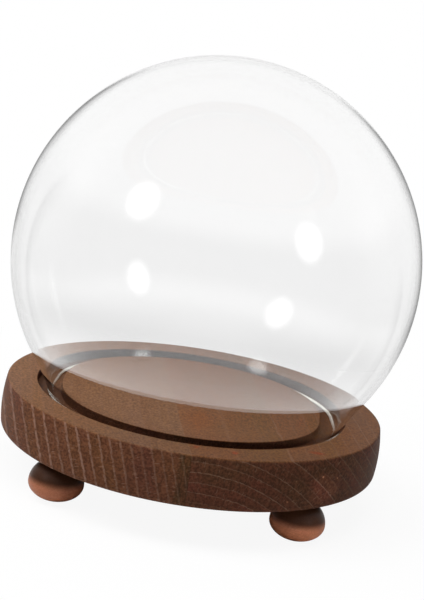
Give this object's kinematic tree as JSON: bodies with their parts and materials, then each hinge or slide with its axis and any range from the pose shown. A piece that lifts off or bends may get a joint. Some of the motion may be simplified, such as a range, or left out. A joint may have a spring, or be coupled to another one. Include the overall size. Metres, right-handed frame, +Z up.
{
  "type": "glass globe display dome on a wooden plinth",
  "caption": "Clear glass globe with an open mouth that stands in the ring groove of a round barrelled hardwood plinth on bun feet, and lifts straight off.",
  "frame": {"origin": "on the floor, under the middle of the plinth", "axes": "+Z up along the globe's axis; -Y towards the viewer; +X to the viewer's right"},
  "size_m": [0.15, 0.15, 0.1598],
  "materials": {
    "clear_glass": "clear, fire-polished, ground rim",
    "plinth_wood_left": "dark brown hardwood, straight growth rings, satin wax",
    "plinth_wood_right": "dark red-brown hardwood, arched growth rings, satin wax",
    "foot_wood": "red-brown turned hardwood, satin",
    "dowel_wood": "plain beech, unfinished"
  },
  "bodies": {
    "base": {"base_board_left": "plinth_wood_left", "base_board_right": "plinth_wood_right", "bun_foot_front_left": "foot_wood", "bun_foot_front_right": "foot_wood", "bun_foot_back_left": "foot_wood", "bun_foot_back_right": "foot_wood", "foot_dowel_front_left": "dowel_wood", "foot_dowel_front_right": "dowel_wood", "foot_dowel_back_left": "dowel_wood", "foot_dowel_back_right": "dowel_wood"},
    "globe": {"glass_globe": "clear_glass"}
  },
  "joints": [
    {"name": "globe_lift", "type": "slide", "parent": "base", "child": "globe", "axis": [0, 0, 1], "range_m": [0, 0.14]}
  ]
}
